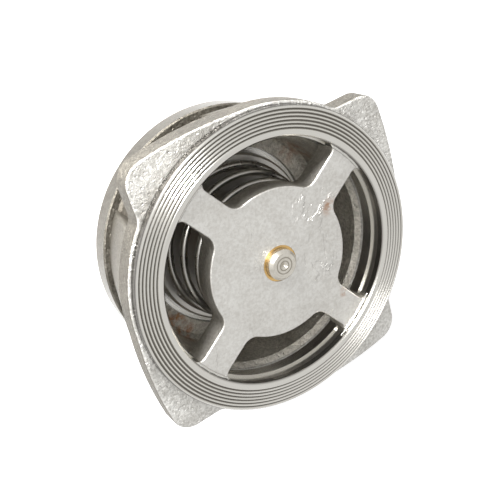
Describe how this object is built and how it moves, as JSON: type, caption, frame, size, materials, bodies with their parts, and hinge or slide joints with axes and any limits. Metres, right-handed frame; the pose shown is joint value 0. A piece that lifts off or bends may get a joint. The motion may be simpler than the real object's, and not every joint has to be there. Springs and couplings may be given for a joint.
{
  "type": "wafer check valve",
  "caption": "Spring-loaded disc wafer check valve with a serrated outlet face, spiral centring cams and a guide spider.",
  "frame": {"origin": "centre of the inlet face, on the flow axis", "axes": "+Z along the flow, from the inlet face to the serrated outlet face; the spider's arms point at 45, 135, 225 and 315 degrees from +X"},
  "size_m": [0.098, 0.098, 0.041],
  "materials": {
    "cast_steel": "sand-cast stainless steel, blasted, with turned sealing faces",
    "bronze": "turned bronze",
    "machined_steel": "turned",
    "black_rubber": "matt",
    "spring_steel": "drawn wire",
    "disc_steel": "turned, dull"
  },
  "bodies": {
    "housing": {"body": "cast_steel", "guide_bush": "bronze", "seat_ring": "machined_steel", "seat_o_ring": "black_rubber", "retaining_ring": "spring_steel", "spring": "spring_steel"},
    "disc_assembly": {"valve_disc": "disc_steel", "guide_stem": "machined_steel", "disc_washer": "machined_steel", "disc_nut": "machined_steel"}
  },
  "joints": [
    {"name": "disc_lift", "type": "slide", "parent": "housing", "child": "disc_assembly", "axis": [0, 0, 1], "range_m": [0, 0.011], "stiffness_N_per_m": 300, "springref_m": -0.01, "deforming": ["spring"]}
  ]
}
